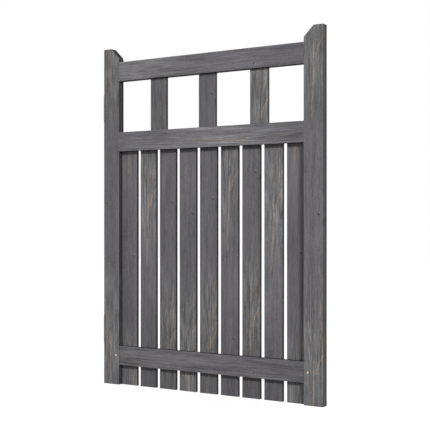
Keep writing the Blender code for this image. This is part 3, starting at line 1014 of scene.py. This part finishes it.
def flap_sinks(hinge, face_x, gate_side):
    """Cutters for a flap's screw holes. Heads sit in the face that looks at the other flap."""
    sinks = []
    turn = Matrix.Rotation(math.radians(-90 if gate_side else 90), 4, "Y")
    for index in range(1, HINGE_SCREW_COUNT + 1):
        low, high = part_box(f"{hinge}_hinge_screw_{index}")
        middle = (low + high) / 2
        sink = countersink(28, SCREW_SHANK_RADIUS + SHANK_CLEARANCE, *FLAP_CUTTER)
        sink.transform(Matrix.Translation((face_x, middle.y, middle.z)) @ turn)
        sinks.append(sink)
    return sinks


def knuckle_barrel(pin_place, start, end):
    """A bored knuckle with eased rims."""
    half = (end - start) / 2
    bore = PIN_RADIUS + BORE_CLEARANCE
    rim = KNUCKLE_RADIUS - METAL_EASE
    profile = [(bore, half), (rim, half), (KNUCKLE_RADIUS, half - METAL_EASE)]
    profile += [(radius, -height) for radius, height in reversed(profile)]
    barrel = turned_mesh("barrel", profile + profile[:1])
    barrel.transform(Matrix.Translation((pin_place.x, pin_place.y, start + half)))
    return barrel


def knuckle_strap(low, high):
    """The steel between a flap's plate and a knuckle, just inside the faces of both."""
    size = high - low - 2 * STRAP_INSET
    place = Matrix.Translation((low + high) / 2) @ Matrix.Diagonal((*size, 1.0))
    shape = bmesh.new()
    bmesh.ops.create_cube(shape, size=1.0, matrix=place)
    edges = shape.edges[:]
    bmesh.ops.bevel(shape, geom=edges, offset=METAL_EASE, segments=2, profile=0.5, affect="EDGES")
    return finish_mesh("strap", shape)


def make_flap(node, body, pin_place, owner, material):
    """A flap that owns every second knuckle from number owner on, with its screw holes."""
    low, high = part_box(node)
    gate_side = body == "leaf"
    plate_low = Vector(low)
    if gate_side:
        # The gate's plate mirrors the post's about the pin
        post_side_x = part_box(node.replace("gate", "post"))[0].x
        plate_low.x = pin_place.x + (pin_place.x - post_side_x) - FLAP_THICKNESS
    plate_x = plate_low.x + FLAP_THICKNESS
    plate_end = pin_place.y - KNUCKLE_RADIUS + STRAP_OVERLAP
    plate_high = Vector((plate_x, plate_end, high.z))
    sinks = flap_sinks(node.split("_")[0], plate_low.x if gate_side else plate_x, gate_side)
    plate = cut_mesh(flap_plate(plate_low, plate_high), sinks)

    pitch = (high.z - low.z) / KNUCKLE_COUNT
    knuckles = []
    for index in range(owner, KNUCKLE_COUNT, 2):
        first, last = index == 0, index == KNUCKLE_COUNT - 1
        start = low.z + index * pitch + (0 if first else KNUCKLE_GAP / 2)
        end = low.z + (index + 1) * pitch - (0 if last else KNUCKLE_GAP / 2)
        strap_low = Vector((plate_low.x, plate_high.y - 2 * STRAP_OVERLAP, start))
        strap_high = Vector((plate_x, pin_place.y - PIN_RADIUS, end))
        knuckles.append(knuckle_barrel(pin_place, start, end))
        knuckles.append(knuckle_strap(strap_low, strap_high))
    mesh = cut_mesh(plate, knuckles, "UNION")
    mesh.shade_smooth()
    mesh.set_sharp_from_angle(angle=SMOOTH_ANGLE)
    add_piece(f"{node}_steel", mesh, body, [node], material)


def make_hinges(steel):
    for hinge in ("lower", "upper"):
        pin = f"{hinge}_hinge_pin"
        low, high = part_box(pin)
        middle = (low + high) / 2
        head = (high.x - low.x) / 2
        top = high.z
        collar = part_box(f"{hinge}_hinge_post_flap")[1].z + COLLAR_GAP
        dome = [
            (head * math.sin(a), collar + (top - collar) * (0.4 + 0.6 * math.cos(a)))
            for a in [math.pi / 2 * step / 6 for step in range(7)]
        ]
        profile = dome + [(head, collar), (PIN_RADIUS, collar), (PIN_RADIUS, low.z + METAL_EASE)]
        profile += [(PIN_RADIUS - METAL_EASE, low.z), (0, low.z)]
        mesh = turned_mesh(pin, profile)
        mesh.transform(Matrix.Translation((middle.x, middle.y, 0)))
        add_piece(f"{pin}_steel", mesh, "post_side", [pin], steel)
        make_flap(f"{hinge}_hinge_post_flap", "post_side", middle, 0, steel)
        make_flap(f"{hinge}_hinge_gate_flap", "leaf", middle, 1, steel)


# ---------------------------------------------------------------- studio


def make_floor():
    """A pale floor a little below the hanging leaf."""
    bpy.ops.mesh.primitive_grid_add(x_subdivisions=4, y_subdivisions=4, size=FLOOR_SIZE)
    floor = bpy.context.object
    floor.name = "studio_floor"
    floor.location = (LEAF.x, LEAF.y, LEAF.z - FLOOR_DROP)
    material, graph = new_material("studio_floor")
    diffuse = graph.node("ShaderNodeBsdfDiffuse", {"Color": FLOOR_TONE})
    glow = graph.node("ShaderNodeEmission", {"Color": WHITE, "Strength": FLOOR_GLOW})
    both = graph.node("ShaderNodeAddShader")
    graph.tree.links.new(diffuse.outputs[0], both.inputs[0])
    graph.tree.links.new(glow.outputs[0], both.inputs[1])
    output = graph.node("ShaderNodeOutputMaterial")
    graph.tree.links.new(both.outputs[0], output.inputs[0])
    floor.data.materials.append(material)
    # The floor throws no light back, so the undersides stay dark
    floor.visible_diffuse = False


def lamp_turn(azimuth, elevation):
    """The turn of a lamp that stands at this azimuth and elevation and shines at the leaf.
    Azimuth 0 is square-on to the front, positive to the right."""
    turn = Matrix.Rotation(math.radians(azimuth), 4, "Z")
    return turn @ Matrix.Rotation(math.radians(90 - elevation), 4, "X")


def add_lamp(name, data, place):
    lamp = bpy.data.objects.new(name, data)
    bpy.context.scene.collection.objects.link(lamp)
    lamp.matrix_world = place


def sun(name, azimuth, elevation, strength, spread):
    """A soft lamp far off."""
    data = bpy.data.lights.new(name, "SUN")
    data.energy = strength
    data.angle = math.radians(spread)
    add_lamp(name, data, lamp_turn(azimuth, elevation))


def softbox(name, from_middle, power, width, height):
    """A long lamp parallel to the leaf's rails, so that their shadows are crisp while those of
    the uprights are soft."""
    data = bpy.data.lights.new(name, "AREA")
    data.shape = "RECTANGLE"
    data.size = width
    data.size_y = height
    data.energy = power
    middle = (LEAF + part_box("latch_stile")[1]) / 2
    elevation = math.degrees(math.atan2(from_middle.z, -from_middle.y))
    add_lamp(name, data, Matrix.Translation(middle + from_middle) @ lamp_turn(0, elevation))


def make_world():
    """White to the camera; to everything else a weak glow, weaker from below."""
    world = bpy.data.worlds.new("studio")
    bpy.context.scene.world = world
    world.use_nodes = True
    world.node_tree.nodes.clear()
    graph = Graph(world.node_tree)
    towards = graph.node("ShaderNodeTexCoord").outputs["Generated"]
    rise = graph.node("ShaderNodeSeparateXYZ", {"Vector": towards}).outputs["Z"]
    glow = graph.ramp(rise, -0.45, 0.35, AMBIENT_BELOW, AMBIENT_ABOVE)
    seen = graph.node("ShaderNodeLightPath").outputs["Is Camera Ray"]
    strength = graph.math("MAXIMUM", seen, glow)
    background = graph.node("ShaderNodeBackground", {"Color": WHITE, "Strength": strength})
    output = graph.node("ShaderNodeOutputWorld")
    graph.tree.links.new(background.outputs[0], output.inputs[0])


def make_camera():
    data = bpy.data.cameras.new("camera")
    data.lens = CAMERA_LENS
    data.sensor_width = 36.0
    data.shift_y = CAMERA_SHIFT_UP
    data.clip_end = 100.0
    camera = bpy.data.objects.new("camera", data)
    bpy.context.scene.collection.objects.link(camera)
    camera.location = LEAF + Vector(CAMERA_PLACE)
    camera.rotation_euler = (math.pi / 2, 0.0, math.radians(CAMERA_AZIMUTH))
    bpy.context.scene.camera = camera


make_camera()
make_stiles()
make_rails()
make_pickets()
make_boards()
make_pegs()
galvanised = metal_material("galvanised_steel", GALVANISED, 5 * MM, 0.30, 3.0)
zinc = metal_material("zinc_plate", ZINC, 1.2 * MM, 0.25, 9.0)
make_screws(screw_mesh(), zinc)
make_hinges(galvanised)
make_floor()
make_world()
softbox("key", KEY_PLACE, KEY_POWER, *KEY_SIZE)
sun("back", **BACK_SUN)
bpy.context.scene.view_settings.view_transform = "Standard"
